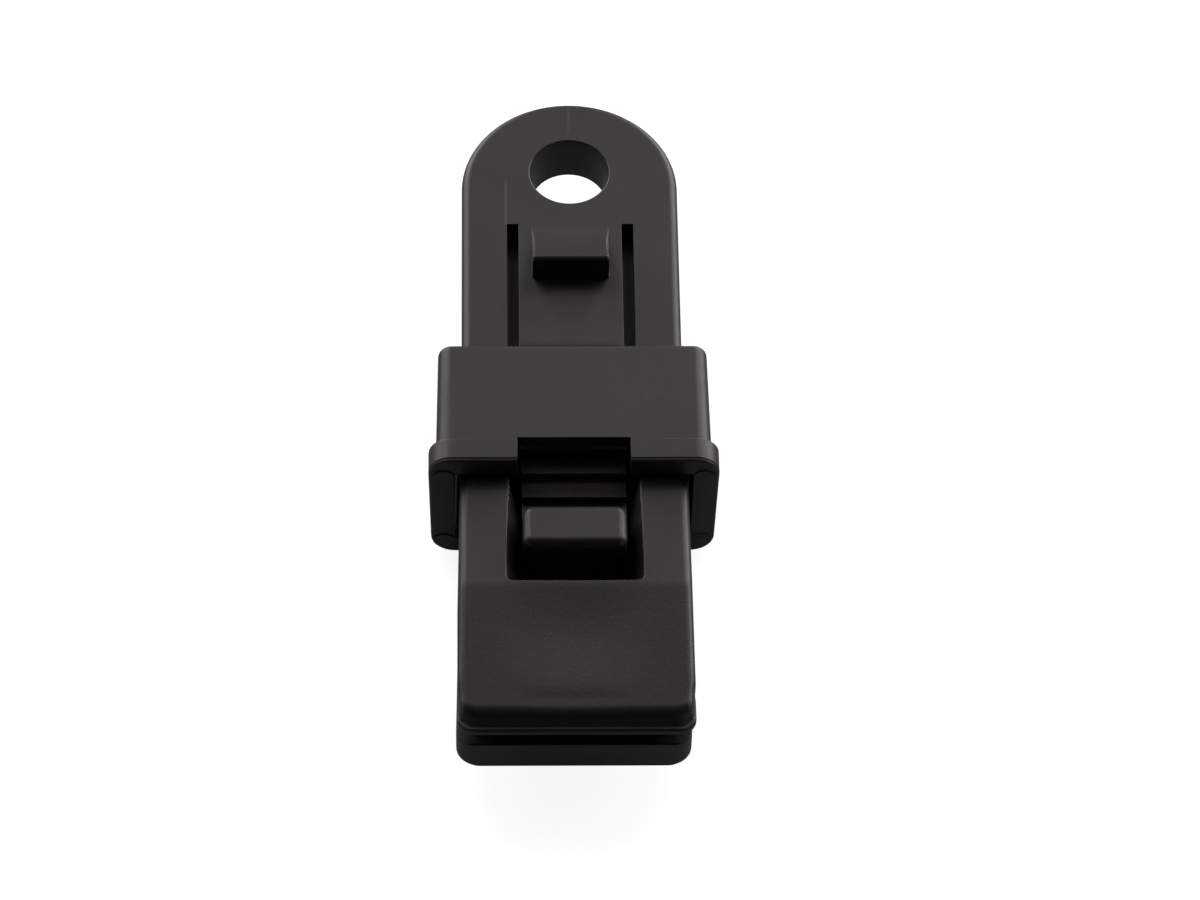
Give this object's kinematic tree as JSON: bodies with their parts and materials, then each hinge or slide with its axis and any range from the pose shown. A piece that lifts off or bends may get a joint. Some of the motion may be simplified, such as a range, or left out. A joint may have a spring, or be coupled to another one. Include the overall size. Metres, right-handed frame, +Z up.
{
  "type": "tarp clip",
  "caption": "Plastic tarp clip: ridged jaws on a tail with a round eyelet, squeezed shut by a sliding collar that clicks along a toothed release tongue with a push button.",
  "frame": {"origin": "centre of the clip's length and width, on the plane that the collar's lip rests on", "axes": "+X to the clip's right seen from above with the nose towards the viewer, +Y from the nose to the eyelet end, +Z up through the eyelet, from the lower jaw to the upper jaw"},
  "size_m": [0.033, 0.0884, 0.0179],
  "materials": {
    "moulding_black": "satin moulded",
    "collar_black": "satin moulded"
  },
  "bodies": {
    "tail": {"tail_plate": "moulding_black"},
    "collar": {"collar": "collar_black"},
    "upper_jaw": {"upper_jaw": "moulding_black"},
    "lower_jaw": {"lower_jaw": "moulding_black"},
    "tongue": {"release_tongue": "moulding_black"}
  },
  "joints": [
    {"name": "collar_slide", "type": "slide", "parent": "tail", "child": "collar", "axis": [0, -1, 0], "range_m": [-0.0128, 0.0078]},
    {"name": "upper_jaw_flex", "type": "hinge", "parent": "tail", "child": "upper_jaw", "pos_m": [0, 0.0258, 0.0121], "axis": [1, 0, 0], "range_deg": [-1.25, 0.76]},
    {"name": "lower_jaw_flex", "type": "hinge", "parent": "tail", "child": "lower_jaw", "pos_m": [0, 0.0258, 0.0058], "axis": [-1, 0, 0], "range_deg": [-1.25, 0.76]},
    {"name": "tongue_press", "type": "hinge", "parent": "tail", "child": "tongue", "pos_m": [0, 0.0258, 0.0121], "axis": [1, 0, 0], "range_deg": [0, 1.78], "stiffness_Nm_per_rad": 4}
  ],
  "couplings": [
    {"joint": "upper_jaw_flex", "follows": "collar_slide", "rad_per_m": 1.65},
    {"joint": "lower_jaw_flex", "follows": "collar_slide", "rad_per_m": 1.65}
  ]
}
